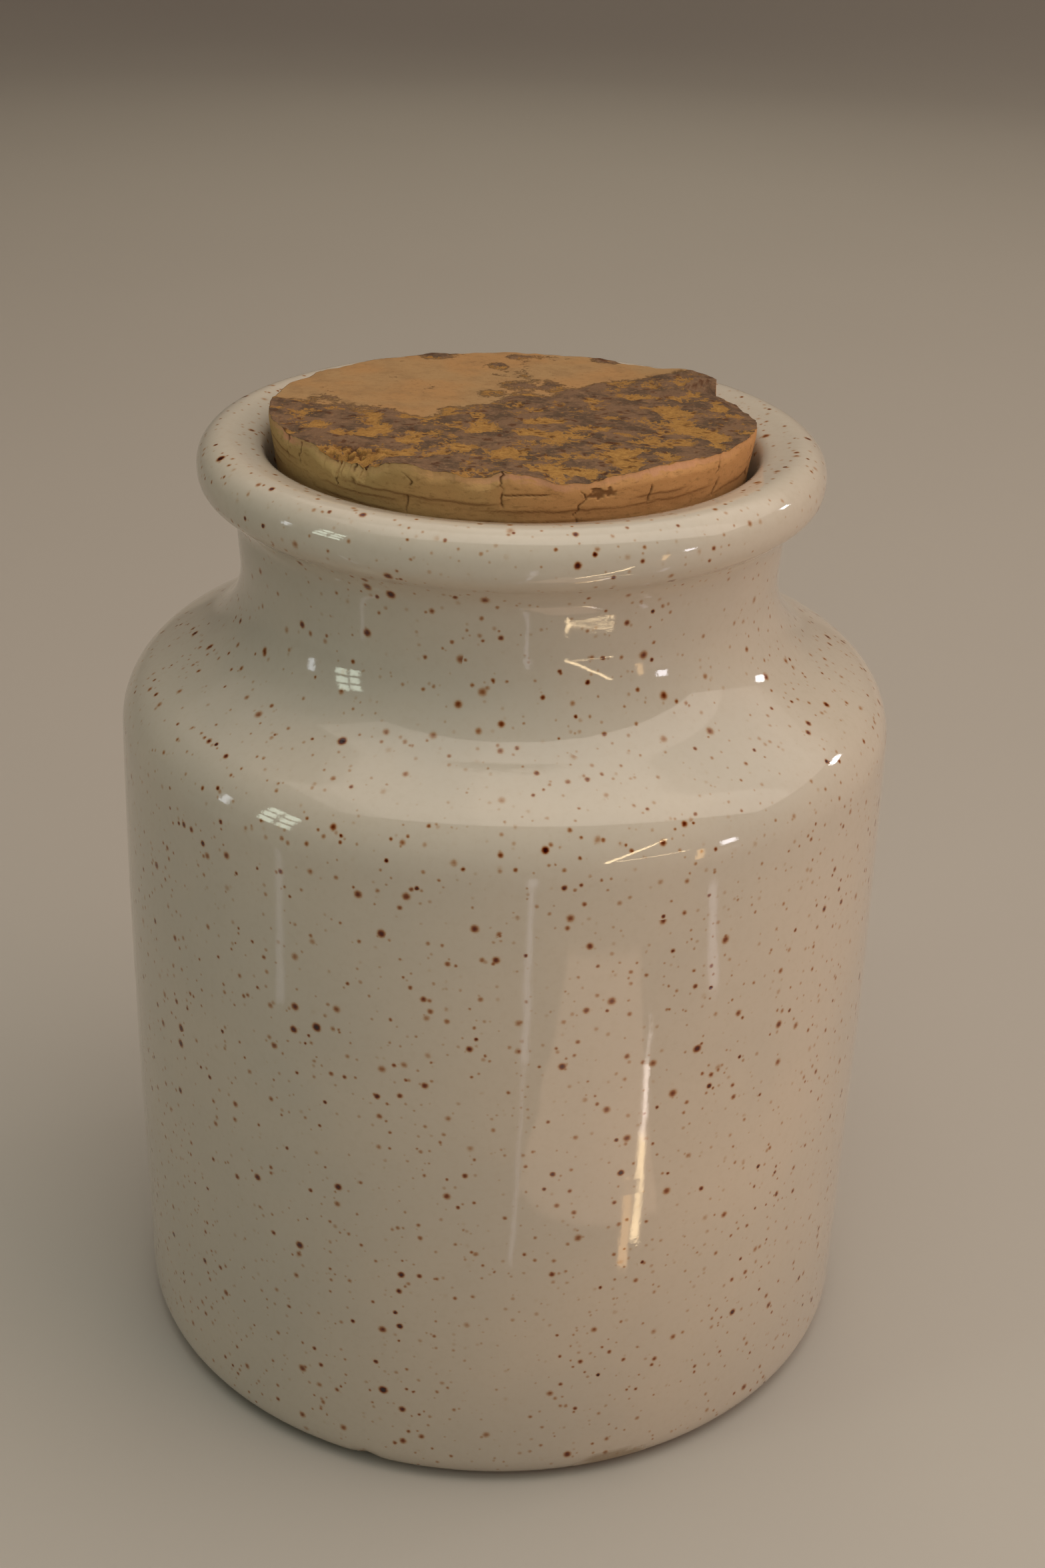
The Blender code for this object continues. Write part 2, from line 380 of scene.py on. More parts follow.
def ring_mesh(name, rings, first_pole, last_pole):
    """A closed mesh from rings of points in millimetres, with a pole at each end."""
    count, turns = rings.shape[:2]
    points = np.concatenate(([first_pole], rings.reshape(-1, 3), [last_pole])) * MM
    here = np.arange(turns)
    after = (here + 1) % turns
    faces = []
    for row in range(count - 1):
        low, high = 1 + row * turns, 1 + (row + 1) * turns
        faces += np.stack((low + here, high + here, high + after, low + after), 1).tolist()
    end = 1 + (count - 1) * turns
    faces += np.stack((np.zeros(turns, int), 1 + here, 1 + after), 1).tolist()
    faces += np.stack((np.full(turns, len(points) - 1), end + after, end + here), 1).tolist()
    mesh = bpy.data.meshes.new(name)
    mesh.from_pydata(points.tolist(), [], faces)
    mesh.validate()
    mesh.shade_smooth()
    obj = bpy.data.objects.new(name, mesh)
    bpy.context.scene.collection.objects.link(obj)
    return obj


def add_attribute(obj, name, values):
    """Keeps one number at each vertex, for the material to read."""
    attribute = obj.data.attributes.new(name, "FLOAT", "POINT")
    attribute.data.foreach_set("value", np.asarray(values, np.float32))


# ---------------------------------------------------------------- node materials


class Shader:
    """One material's nodes. Sockets are passed as links, and numbers or colours as they are."""

    def __init__(self, name):
        self.material = bpy.data.materials.new(name)
        self.material.use_nodes = True
        self.tree = self.material.node_tree
        self.principled = self.tree.nodes["Principled BSDF"]

    def put(self, socket, value):
        if isinstance(value, bpy.types.NodeSocket):
            self.tree.links.new(value, socket)
        elif isinstance(value, tuple) and len(value) == 3 and socket.type == "RGBA":
            socket.default_value = (*value, 1.0)
        else:
            socket.default_value = value

    def node(self, kind, inputs=None, **settings):
        made = self.tree.nodes.new("ShaderNode" + kind)
        for key, value in settings.items():
            setattr(made, key, value)
        for key, value in (inputs or {}).items():
            self.put(made.inputs[key], value)
        return made

    def millimetres(self):
        """The object's own coordinates, in millimetres."""
        coordinates = self.node("TexCoord").outputs["Object"]
        scaled = self.node("VectorMath", {0: coordinates, "Scale": 1.0 / MM}, operation="SCALE")
        return scaled.outputs["Vector"]

    def math(self, operation, a, b=0.0, c=0.0, clamp=False):
        return self.node("Math", {0: a, 1: b, 2: c}, operation=operation, use_clamp=clamp).outputs[0]

    def attribute(self, name):
        return self.node("Attribute", attribute_name=name).outputs["Fac"]

    def noise(self, place, size, detail=2.0, rough=0.5, distort=0.0):
        """Noise about 0.5 whose lumps are this many millimetres across."""
        inputs = {"Vector": place, "Scale": 1.0 / size, "Detail": detail, "Roughness": rough}
        inputs["Distortion"] = distort
        return self.node("TexNoise", inputs)

    def step(self, value, low, high, to_low=0.0, to_high=1.0):
        """A smooth step from to_low to to_high as value goes from low to high."""
        inputs = {"Value": value, "From Min": low, "From Max": high, "To Min": to_low, "To Max": to_high}
        return self.node("MapRange", inputs, interpolation_type="SMOOTHSTEP").outputs["Result"]

    def mix(self, share, a, b, blend="MIX"):
        made = self.node("Mix", data_type="RGBA", blend_type=blend)
        self.put(made.inputs["Factor"], share)
        self.put(made.inputs["A"], a)
        self.put(made.inputs["B"], b)
        return made.outputs["Result"]

    def shifted(self, place, size, amount):
        """The place, moved about by a noise of this size by up to this many millimetres."""
        noise = self.noise(place, size, 2.0).outputs["Color"]
        centred = self.node("VectorMath", {0: noise, 1: (0.5, 0.5, 0.5)}, operation="SUBTRACT")
        scaled = self.node("VectorMath", {0: centred.outputs[0], "Scale": 2.0 * amount}, operation="SCALE")
        return self.node("VectorMath", {0: place, 1: scaled.outputs[0]}, operation="ADD").outputs[0]

    def stretched(self, place, x, y, z):
        return self.node("VectorMath", {0: place, 1: (x, y, z)}, operation="MULTIPLY").outputs[0]

    def relief(self, height, depth, normal=None):
        """A bump whose height of 1 stands depth millimetres proud."""
        inputs = {"Strength": 1.0, "Distance": depth * MM, "Height": height}
        if normal is not None:
            inputs["Normal"] = normal
        return self.node("Bump", inputs).outputs["Normal"]

    def surface(self, **inputs):
        for key, value in inputs.items():
            self.put(self.principled.inputs[key.replace("_", " ")], value)


def specks(shader, place, cell, low_r, high_r, patchiness):
    """The iron in soft round spots with radii between low_r and high_r, one in each cell of this size."""
    voronoi = shader.node("TexVoronoi", {"Vector": place, "Scale": 1.0 / cell, "Randomness": 1.0})
    distance = shader.math("MULTIPLY", voronoi.outputs["Distance"], cell)
    chance = shader.node("SeparateColor", {"Color": voronoi.outputs["Color"]})
    small_more = shader.math("POWER", chance.outputs[0], 3.0)
    radius = shader.math("MULTIPLY_ADD", small_more, high_r - low_r, low_r)
    share = shader.math("DIVIDE", distance, radius)
    spread = shader.math("MULTIPLY", shader.math("POWER", share, 2.4), -1.0)
    strength = shader.math("MULTIPLY_ADD", chance.outputs[1], 0.65, 0.35)
    softness = shader.math("EXPONENT", spread)
    amount = shader.math("MULTIPLY", strength, patchiness)
    return shader.math("MULTIPLY", softness, amount)


def iron_tint(shader, colour, iron):
    """The glaze's colour seen through iron: orange where it is thin, and a black brown where thick."""
    channels = [shader.math("POWER", share, iron) for share in IRON_PASSES]
    tint = shader.node("CombineColor", dict(enumerate(channels))).outputs["Color"]
    return shader.mix(1.0, colour, tint, "MULTIPLY")


def speckled_glaze():
    shader = Shader("speckled_glaze")
    place = shader.millimetres()
    xyz = shader.node("SeparateXYZ", {"Vector": place})

    # The glaze: cream, a little greyer and warmer in broad clouds, with a fine oatmeal grain
    clouds = shader.noise(place, 38.0, 3.0).outputs["Fac"]
    grain = shader.noise(place, 1.3, 3.0, 0.6).outputs["Fac"]
    colour = shader.mix(shader.step(clouds, 0.35, 0.68), CREAM, GREY_CREAM)
    colour = shader.mix(shader.step(grain, 0.40, 0.80, 0.0, 0.22), colour, OATMEAL)

    # Iron spots in three sizes, gathered in places
    ragged = shader.shifted(place, 0.7, 0.12)
    gathered = shader.step(shader.noise(place, 13.0, 2.0).outputs["Fac"], 0.32, 0.68, 0.35, 1.35)
    faint = specks(shader, ragged, *FAINT_SPOTS, gathered)
    middle = specks(shader, ragged, *MIDDLE_SPOTS, gathered)
    bold = specks(shader, ragged, *BOLD_SPOTS, gathered)
    iron = shader.math("MULTIPLY_ADD", middle, MIDDLE_IRON, shader.math("MULTIPLY", faint, FAINT_IRON))
    iron = shader.math("MULTIPLY_ADD", bold, BOLD_IRON, iron)
    colour = iron_tint(shader, colour, iron)

    # Bare clay on the foot, with a wandering edge
    edge = shader.noise(place, 5.0, 3.0).outputs["Fac"]
    height = shader.math("MULTIPLY_ADD", edge, -1.6, xyz.outputs["Z"])
    low_radius = shader.node("VectorMath", {0: shader.stretched(place, 1.0, 1.0, 0.0)}, operation="LENGTH")
    band_r = BASE_R - FOOT_BAND
    on_foot = shader.step(low_radius.outputs["Value"], band_r, band_r + 1.0)
    bare = shader.math("MULTIPLY", shader.step(height, -0.1, -0.7), on_foot)
    bare = shader.math("MAXIMUM", bare, shader.attribute("bare_clay"))
    clay_grain = shader.noise(place, 0.5, 3.0, 0.7).outputs["Fac"]
    clay = shader.mix(clay_grain, DARK_CLAY, PALE_CLAY)
    clay = iron_tint(shader, clay, shader.math("MULTIPLY", bold, 2.0))
    colour = shader.mix(bare, colour, clay)

    # Gloss: crisp, with the faint ripple of a fired glaze
    smudges = shader.noise(place, 9.0, 4.0, 0.6).outputs["Fac"]
    gloss = shader.step(smudges, 0.30, 0.80, 0.038, 0.068)
    roughness = shader.node("Mix", {0: bare, 2: gloss, 3: 0.85}, data_type="FLOAT").outputs[0]
    ripple = shader.noise(place, 7.0, 2.0, 0.5).outputs["Fac"]
    peel = shader.noise(place, 0.55, 2.0, 0.6).outputs["Fac"]
    normal = shader.relief(ripple, 0.030)
    normal = shader.relief(peel, 0.0060, normal)
    normal = shader.relief(bold, -0.004, normal)
    normal = shader.relief(shader.math("MULTIPLY", clay_grain, bare), 0.12, normal)
    shader.surface(Base_Color=colour, Roughness=roughness, IOR=1.52, Normal=normal)
    return shader.material


def natural_cork():
    shader = Shader("natural_cork")
    place = shader.millimetres()
    bark_field = shader.attribute("bark")
    side = shader.attribute("side")
    fissure = shader.attribute("fissure")
    layer = shader.attribute("layer")
    pink = shader.attribute("fresh_edge")

    fine = shader.noise(place, 1.0, 5.0, 0.66).outputs["Fac"]
    mid = shader.noise(place, 4.2, 5.0, 0.64).outputs["Fac"]
    broad = shader.noise(place, 15.0, 3.0, 0.5).outputs["Fac"]
    tiny = shader.noise(place, 0.33, 3.0, 0.65).outputs["Fac"]

    # Bare cork: tan, with orange and dull clouds and a faint fleck
    bare = shader.mix(shader.step(broad, 0.38, 0.62), TAN, ORANGE_TAN)
    bare = shader.mix(shader.step(mid, 0.42, 0.72, 0.0, 0.7), bare, DULL_TAN)
    bare = shader.mix(shader.step(fine, 0.52, 0.75, 0.0, 0.45), bare, TAN_FLECK)

    # Patches where the bark is worn through: ochre, crumbly, with dark pits
    ochre = shader.mix(shader.step(fine, 0.34, 0.66), OCHRE, DARK_OCHRE)
    ochre = shader.mix(shader.step(tiny, 0.60, 0.72, 0.0, 0.65), ochre, OCHRE_PIT)

    # Bark: grey brown with a pinkish cast, darker and paler in ragged blotches
    bark = shader.mix(shader.step(mid, 0.40, 0.62), BARK_BROWN, DARK_BARK)
    bark = shader.mix(shader.step(fine, 0.50, 0.68, 0.0, 0.70), bark, PINK_BARK)
    bark = shader.mix(shader.step(tiny, 0.58, 0.72, 0.0, 0.55), bark, BARK_PIT)

    crumbs = shader.math("MULTIPLY_ADD", fine, 3.6, -1.8)
    dust = shader.math("MULTIPLY_ADD", tiny, 1.1, -0.55)
    worn = shader.math("ADD", shader.attribute("worn"), shader.math("ADD", crumbs, dust))
    top = shader.mix(shader.step(worn, 0.00, 0.16), bark, ochre)
    ragged = shader.math("MULTIPLY_ADD", shader.math("SUBTRACT", fine, 0.5), 1.3, bark_field)
    ragged = shader.math("MULTIPLY_ADD", dust, 0.5, ragged)
    stained = shader.mix(0.5, bare, TAN_STAIN)
    top = shader.mix(shader.step(ragged, 0.10, -0.02), top, stained)
    top = shader.mix(shader.step(ragged, -0.02, -0.22), top, bare)

    # Side: olive tan at the left and orange brown at the right, painted light for the cool cast of shade at
    # the left and warm light at the right; darker towards the throat, painted shade where the side goes down
    # into the jar's mouth; in growth layers
    xyz = shader.node("SeparateXYZ", {"Vector": place})
    flecks = shader.noise(shader.stretched(place, 1.0, 1.0, 2.6), 1.5, 5.0, 0.68).outputs["Fac"]
    # Painted light: olive shade at the left turning to warm orange light at the right, loosened by random
    # clouds
    warm_light_across = shader.math("MULTIPLY_ADD", shader.math("SUBTRACT", broad, 0.5), 30.0, xyz.outputs["X"])
    wall = shader.mix(shader.step(warm_light_across, -26.0, 12.0), SHADED_SIDE_OLIVE, LIT_SIDE_ORANGE)
    # Painted shade: darker where the side goes down into the jar's mouth
    wall = shader.mix(shader.step(xyz.outputs["Z"], 176.0, 167.0, 0.0, 0.55), wall, SIDE_THROAT_SHADE)
    wall = shader.mix(shader.step(flecks, 0.50, 0.70, 0.0, 0.50), wall, SIDE_FLECK)
    wall = shader.mix(shader.math("MULTIPLY", layer, 0.75), wall, SIDE_LINE)
    wall = shader.mix(pink, wall, PINK_EDGE)

    colour = shader.mix(side, top, wall)
    colour = shader.mix(shader.math("MULTIPLY", fissure, 0.88), colour, CRACK_BROWN)

    bark_share = shader.math("MULTIPLY", shader.step(ragged, -0.2, 0.1), shader.math("SUBTRACT", 1.0, side))
    depth = shader.math("MULTIPLY_ADD", bark_share, 0.75, 0.25)
    grains = shader.math("ADD", shader.math("MULTIPLY", fine, 0.6), shader.math("MULTIPLY", tiny, 0.4))
    normal = shader.relief(shader.math("MULTIPLY", grains, depth), 0.55)
    roughness = shader.step(fine, 0.3, 0.7, 0.78, 0.95)
    shader.surface(Base_Color=colour, Roughness=roughness, Normal=normal)
    shader.principled.inputs["Specular IOR Level"].default_value = 0.12
    return shader.material


def painted_floor():
    shader = Shader("pale_floor")
    place = shader.millimetres()
    cloud = shader.noise(place, 400.0, 3.0).outputs["Fac"]
    colour = shader.mix(cloud, PALE_FLOOR, PALER_FLOOR)
    shader.surface(Base_Color=colour, Roughness=0.55)
    return shader.material


# ---------------------------------------------------------------- the jar


def seat_radius(z):
    """The throat's radius where the cork seats, with the fit gap."""
    return CORK_TOP_R - CORK_TAPER * (CORK_TOP_Z - z) + FIT_GAP


def jar_corners():
    """The outline from the middle of the floor inside, over the lip, down to the middle of the base."""
    inner_r = BODY_R - WALL
    throat_r = seat_radius(SEAT_LOW_Z)
    slope = (NECK_Z - SHOULDER_Z) / (SHOULDER_R - NECK_R)
    inner_shoulder_z = SHOULDER_Z + slope * (SHOULDER_R - inner_r) - WALL * math.hypot(1.0, slope)
    inner_neck_z = inner_shoulder_z + slope * (inner_r - throat_r)
    ring_inner_r = BASE_R - BASE_ROUND - FOOT_RING_W
    return [
        (POLE_R, FLOOR_Z, 0),
        (inner_r, FLOOR_Z, FLOOR_ROUND),
        (inner_r, inner_shoulder_z, INNER_SHOULDER_ROUND),
        (throat_r, inner_neck_z, THROAT_ROUND),
        (throat_r, SEAT_LOW_Z, 0),
        (seat_radius(SEAT_HIGH_Z), SEAT_HIGH_Z, 0),
        (MOUTH_R, MOUTH_Z, MOUTH_ROUND),
        (LIP_R, LIP_TOP_Z, LIP_TOP_ROUND),
        (LIP_R, LIP_LOW_Z, LIP_LOW_ROUND),
        (COVE_R, COVE_Z, COVE_ROUND),
        (NECK_R, NECK_Z, NECK_ROUND),
        (SHOULDER_R, SHOULDER_Z, SHOULDER_ROUND),
        (BODY_R, BELLY_Z, BELLY_ROUND),
        (BASE_R, 0.0, BASE_ROUND),
        (ring_inner_r, 0.0, FOOT_ROUND),
        (ring_inner_r - 2 * FOOT_ROUND, FOOT_RECESS, FOOT_ROUND),
        (POLE_R, FOOT_RECESS, 0),
    ]


def make_jar(glaze):
    outline = divided(rounded(jar_corners(), ARC_STEP), STRAIGHT_STEP)
    angle = np.arange(JAR_TURNS) * math.tau / JAR_TURNS
    r = outline[:, :1] + 0.0 * angle
    z = outline[:, 1:] + 0.0 * angle
    azimuth = np.degrees(angle)[None, :] + 0.0 * r

    # Throwing: slow waves up the wall, and a slightly uneven round
    outer = np.zeros(len(outline))
    top = np.argmax(outline[:, 1])
    outer[top:] = 1.0
    wave = Noise(11)
    turn_x, turn_y = np.cos(angle)[None, :], np.sin(angle)[None, :]
    slow = wave.at(turn_x * 1.1 + 4.0, turn_y * 1.1 + 4.0, z / SLOW_HEIGHT)
    rings = wave.at(turn_x * 0.35 + 9.0, turn_y * 0.35 + 9.0, z / RING_HEIGHT)
    sway = SLOW_SWAY * slow + RING_SWAY * rings
    settled = ease(2.0, 14.0, z) * ease(10.0, 30.0, r)
    r = r + sway * settled * outer[:, None]

    # A chip of glaze off the foot's edge at the front, and a bare patch beside it
    chip_azimuth, chip_z, chip_r, chip_depth = FOOT_CHIP
    chip_place = np.hypot(turn_between(azimuth, chip_azimuth) * 1.2, z - chip_z)
    chip = np.exp(-((chip_place / chip_r) ** 2)) * outer[:, None]
    r = r - chip_depth * chip
    patch_azimuth, patch_z, patch_half_w, patch_half_h = FOOT_PATCH
    patch_place = np.hypot(turn_between(azimuth, patch_azimuth) / patch_half_w, (z - patch_z) / patch_half_h)
    ragged = wave.at(azimuth / 1.7, z / 0.9, 0.0 * z)
    patch = ease(1.25, 0.75, patch_place + 0.35 * ragged) * outer[:, None]

    x, y = r * np.cos(angle), r * np.sin(angle)
    rings_of_points = np.stack((x, y, z), -1)
    first_pole, last_pole = (0.0, 0.0, FLOOR_Z), (0.0, 0.0, FOOT_RECESS)
    jar = ring_mesh("stoneware_jar", rings_of_points[:, ::-1], first_pole, last_pole)
    bare = np.clip(0.75 * patch + chip, 0.0, 1.0)[:, ::-1]
    add_attribute(jar, "bare_clay", np.concatenate(([0.0], bare.ravel(), [0.0])))
    jar.data.materials.append(glaze)
    return jar


# ---------------------------------------------------------------- the cork


def make_cork(cork_material):
    pattern = Noise(23)
    front_start, front_end = CORK_FRONT
    front = np.arange(front_start, front_end, CORK_FRONT_STEP)
    back = np.arange(front_end, front_start + 360.0 - CORK_BACK_STEP / 2, CORK_BACK_STEP)
    angle = np.radians(np.concatenate((front, back)))
    azimuth = turn_between(np.degrees(angle), 0.0)
    around_x, around_y = np.cos(angle), np.sin(angle)

    # Top: rings from the middle out to the rim
    inner_rings = np.linspace(POLE_R, CORK_EDGE_R, CORK_TOP_RINGS)
    ring_r = np.concatenate((inner_rings, np.linspace(CORK_EDGE_R + 0.3, CORK_TOP_R, CORK_EDGE_RINGS)))
    chips = chip_depths(azimuth, pattern, around_x, around_y)
    reach = ring_r[:, None] / CORK_TOP_R
    rim_r = CORK_TOP_R - chips["inset"]
    r = reach * rim_r[None, :]
    x, y = r * around_x, r * around_y
    plane = CORK_TOP_Z + CORK_TILT_Y * y + CORK_TILT_X * x

    bark = bark_cover(x, y, pattern)
    worn = worn_patches(x, y, pattern)
    crust = ease(-0.05, 0.60, bark) * (1.0 - 0.7 * ease(-0.10, 0.25, worn))
    lumps = pattern.layered(x / 3.0, y / 2.2, 0.0 * x + 3.0, 3)
    pocked = bump(azimuth, -130.0, 9.0)[None, :] * ease(9.0, 2.0, (1.0 - reach) * CORK_TOP_R)
    pocks = pocked * ease(0.05, 0.28, pattern.layered(x / 1.1, y / 1.1, 0.0 * x + 21.0, 2))
    ridge = ease(19.0, 33.0, x) * ease(13.0, 21.0, y) * ease(34.0, 28.5, y) * ease(27.5, 29.5, azimuth)
    near_edge = ease(4.0, 0.2, (1.0 - reach) * CORK_TOP_R)
    top_z = plane - 0.20 + 0.30 * crust + 0.10 * lumps * ease(-0.1, 0.2, bark) + 1.3 * ridge - 0.7 * pocks
    top_z = top_z + near_edge * chips["height"][None, :]

    # Side: rows from the rim down to the bottom, with its fissures and growth layers
    share = ((np.arange(1, CORK_SIDE_ROWS + 1) / CORK_SIDE_ROWS) ** 1.7)[:, None]
    bottom_z = CORK_TOP_Z - CORK_T
    side_z = top_z[-1][None, :] * (1.0 - share) + bottom_z * share
    side_r = CORK_TOP_R - CORK_TAPER * (CORK_TOP_Z - side_z)
    top_blend = ease(2.2, 0.0, top_z[-1][None, :] - side_z)
    side_r = side_r * (1.0 - top_blend) + rim_r[None, :] * top_blend
    crack = fissures(azimuth[None, :] + 0.0 * side_z, side_z, pattern)
    layer = growth_layers(azimuth[None, :] + 0.0 * side_z, side_z, pattern)
    grain = pattern.layered(around_x * 14.0, around_y * 14.0, side_z / 1.6, 2)
    side_r = np.minimum(side_r - 0.35 * crack - 0.06 * layer + 0.05 * grain, side_r + 0.03)
    side_r[-1] = side_r[-2] - 0.9
    side_x, side_y = side_r * around_x, side_r * around_y

    # Bottom: flat
    bottom_share = np.linspace(0.96, 0.02, CORK_BOTTOM_RINGS)[:, None]
    bottom_x, bottom_y = side_x[-1] * bottom_share, side_y[-1] * bottom_share
    bottom_z_rows = bottom_z + 0.04 * pattern.layered(bottom_x / 1.5, bottom_y / 1.5, 0.0 * bottom_x + 8.0, 2)
    bottom_z_rows = np.maximum(bottom_z_rows, bottom_z)

    xs, ys = np.vstack((x, side_x, bottom_x)), np.vstack((y, side_y, bottom_y))
    zs = np.vstack((top_z, side_z, bottom_z_rows))
    middle_z = float(top_z[0].mean())
    points = np.stack((xs, ys, zs), -1)
    cork = ring_mesh("cork_slab", points, (0.0, 0.0, middle_z), (0.0, 0.0, bottom_z))

    drop = top_z[-1][None, :] - side_z
    uneven = 0.45 * pattern.layered(azimuth[None, :] / 2.2, drop * 1.5, 0.0 * drop, 3)
    fresh = ease(0.0, 0.20, drop) * ease(1.25, 0.65, drop + uneven)
    pinker = np.max([bump(azimuth, centre, width) for centre, width in PINK_PLACES], axis=0)
    fresh = fresh * (0.15 + 0.85 * pinker)
    top_zero, bottom_zero = 0.0 * x, 0.0 * bottom_x
    off_top = np.vstack((top_zero, 1.0 + 0.0 * side_z, 1.0 + bottom_zero))
    holes = ease(0.62, 0.80, pattern.layered(x / 1.3, y / 0.9, 0 * x + 12.0, 2)) * ease(0.0, 0.3, bark)
    attributes = {
        "bark": np.vstack((bark, 0.0 * side_z, bottom_zero)),
        "worn": np.vstack((worn, 0.0 * side_z, bottom_zero)),
        "side": off_top,
        "fissure": np.vstack((np.maximum(0.8 * holes, 0.85 * pocks), crack, bottom_zero)),
        "layer": np.vstack((top_zero, layer, bottom_zero + 0.3)),
        "fresh_edge": np.vstack((top_zero, fresh, bottom_zero)),
    }
    for name, rows_of_values in attributes.items():
        values = rows_of_values.ravel()
        add_attribute(cork, name, np.concatenate((values[:1], values, values[-1:])))
    cork.data.materials.append(cork_material)
    return cork


def chip_depths(azimuth, pattern, around_x, around_y):
    """Along the rim: how far the top edge is broken inwards, and how far up or down it stands."""
    place, inset, height = np.array(RIM).T
    jag = pattern.layered(around_x * 13.0 + 2.0, around_y * 13.0 + 2.0, 0.0 * azimuth + 5.0, 4)
    rise = pattern.layered(around_x * 9.0, around_y * 9.0, 0.0 * azimuth + 1.0, 4)
    inset = np.interp(azimuth, place, inset) + 0.28 * jag
    height = np.interp(azimuth, place, height) + 0.20 * rise
    # Bites out of the edge at the front left
    bites = ease(0.10, 0.30, pattern.layered(azimuth / 1.1, 0.0 * azimuth, 0.0 * azimuth + 7.0, 2))
    bites = bites * bump(azimuth, -129.0, 7.0)
    return {"inset": np.maximum(inset + 0.9 * bites, -0.1), "height": height - 0.9 * bites}


def patches(x, y, places):
    """1 at the centre of each patch, falling to 0 a little past its half widths."""
    total = 0.0 * x
    for centre_x, centre_y, half_x, half_y in places:
        distance = np.hypot((x - centre_x) / half_x, (y - centre_y) / half_y)
        total = np.maximum(total, ease(1.7, 0.3, distance))
    return total


def bark_cover(x, y, pattern):
    """Above 0 where bark covers the top: in front of a ragged line, and on some islands behind it."""
    line_x, line_y = np.array(BARK_LINE, float).T
    wander = pattern.layered(x / 5.5 + 20.0, y / 5.5, 0.0 * x + 9.0, 4)
    behind = (np.interp(x, line_x, line_y) - y) / 7.0
    islands = 0.80 * patches(x, y, BARK_ISLANDS) - 0.80
    return np.clip(np.maximum(behind, islands) + 0.50 * wander, -1.0, 1.0)


def worn_patches(x, y, pattern):
    """Above 0 where the bark is rubbed through to ochre cork."""
    mottle = pattern.layered(x / 3.6, y / 3.6 + 11.0, 0.0 * x + 15.0, 5)
    return 0.85 * mottle + patches(x, y, OCHRE_PATCHES) - 0.34


def fissures(azimuth, z, pattern):
    """Upright cracks in the side, 0 to 1: those that are seen from the front, and others round the back."""
    places = list(CRACKS)
    random = np.random.default_rng(5)
    for centre in np.arange(-20.0, 200.0, 13.0):
        start = centre + random.uniform(-5.0, 5.0)
        top = random.uniform(176.0, 181.0)
        places.append((start, top, top - random.uniform(3.0, 20.0), random.uniform(0.3, 0.8)))
    total = 0.0 * z
    for number, (centre, top, bottom, width) in enumerate(places):
        lean = 1.2 * pattern.layered(z / 1.7, 0.0 * z + number * 3.7, 0.0 * z, 3)
        across = turn_between(azimuth, centre + lean)
        gaps = ease(-0.75, 0.35, pattern.at(z / 0.9, 0.0 * z + number * 5.1, 0.0 * z + 6.0))
        span = ease(bottom - 0.6, bottom + 0.6, z) * ease(top + 0.6, top - 0.6, z)
        uneven = 0.45 + 0.40 * pattern.at(z / 0.6, 0.0 * z + number * 2.9, 0.0 * z + 3.0)
        total = np.maximum(total, bump(across, 0.0, width * uneven + 0.08) * gaps * span)
    # One level crack at the front, and a dark knot to its right
    line = LEVEL_CRACK_Z + 0.15 * pattern.at(azimuth / 2.0, 0.0 * z, 0.0 * z)
    level = bump(z, line, 0.11) * ease(-92.5, -91.0, azimuth) * ease(-81.0, -83.0, azimuth)
    knot_noise = 0.5 * pattern.layered(azimuth / 1.2, z / 0.5, 0.0 * z + 4.0, 2)
    knot_azimuth, knot_z, knot_half_w, knot_half_h = KNOT
    knot_place = np.hypot(turn_between(azimuth, knot_azimuth) / knot_half_w, (z - knot_z) / knot_half_h)
    knot = ease(1.1, 0.6, knot_place + knot_noise)
    return np.maximum(total, np.maximum(level, 0.8 * knot))


def growth_layers(azimuth, z, pattern):
    """Thin level lines where the cork stopped growing each year, 0 to 1."""
    slow = pattern.at(azimuth / 24.0, 0.0 * z + 0.5, 0.0 * z)
    total = 0.0 * z
    for number, height in enumerate(GROWTH_LINES):
        line = height + 0.5 * slow + 0.25 * pattern.layered(azimuth / 5.0, 0.0 * z + number * 2.3, 0.0 * z, 3)
        shown = ease(-0.6, 0.3, pattern.at(azimuth / 11.0, 0.0 * z + number * 4.9, 0.0 * z + 1.7))
        total = np.maximum(total, bump(z, line, 0.17) * shown + 0.35 * bump(z, line - 0.5, 0.6) * shown)
    return np.minimum(total, 1.0)


# ---------------------------------------------------------------- stage, light and camera


def make_stage(floor_material):
    """A pale floor that curves up into a wall all round, far off."""
    profile = [(r, 0.0) for r in FLOOR_RADII]
    floor_end = FLOOR_RADII[-1]
    for i in range(1, SWEEP_STEPS + 1):
        turn = math.pi / 2 * i / SWEEP_STEPS
        profile.append((floor_end + SWEEP_R * math.sin(turn), SWEEP_R - SWEEP_R * math.cos(turn)))
    profile.append((floor_end + SWEEP_R, STAGE_TOP))
    angle = np.arange(STAGE_TURNS) * math.tau / STAGE_TURNS
    rings = np.array([[(r * math.cos(a), r * math.sin(a), z) for a in angle] for r, z in profile]) / MM
    stage = ring_mesh("floor_sweep", rings, (0.0, 0.0, 0.0), rings[-1].mean(0))
    # The last pole would close the room: its faces come off
    shape = bmesh.new()
    shape.from_mesh(stage.data)
    shape.verts.ensure_lookup_table()
    bmesh.ops.delete(shape, geom=[shape.verts[-1]], context="VERTS")
    shape.to_mesh(stage.data)
    shape.free()
    stage.data.materials.append(floor_material)


def area_light(name, place, target, width, height, power, colour):
    data = bpy.data.lights.new(name, "AREA")
    data.shape = "RECTANGLE"
    data.size = width
    data.size_y = height
    data.energy = power
    data.color = colour
    light = bpy.data.objects.new(name, data)
    light.location = place
    light.rotation_euler = (Vector(target) - Vector(place)).to_track_quat("-Z", "Y").to_euler()
    light.visible_camera = False
    bpy.context.scene.collection.objects.link(light)
    return light


def fill_light(name, place, target, width, height, power, colour):
    """A light that brightens surfaces but doesn't show as a shape in their gloss."""
    light = area_light(name, place, target, width, height, power, colour)
    light.visible_glossy = False


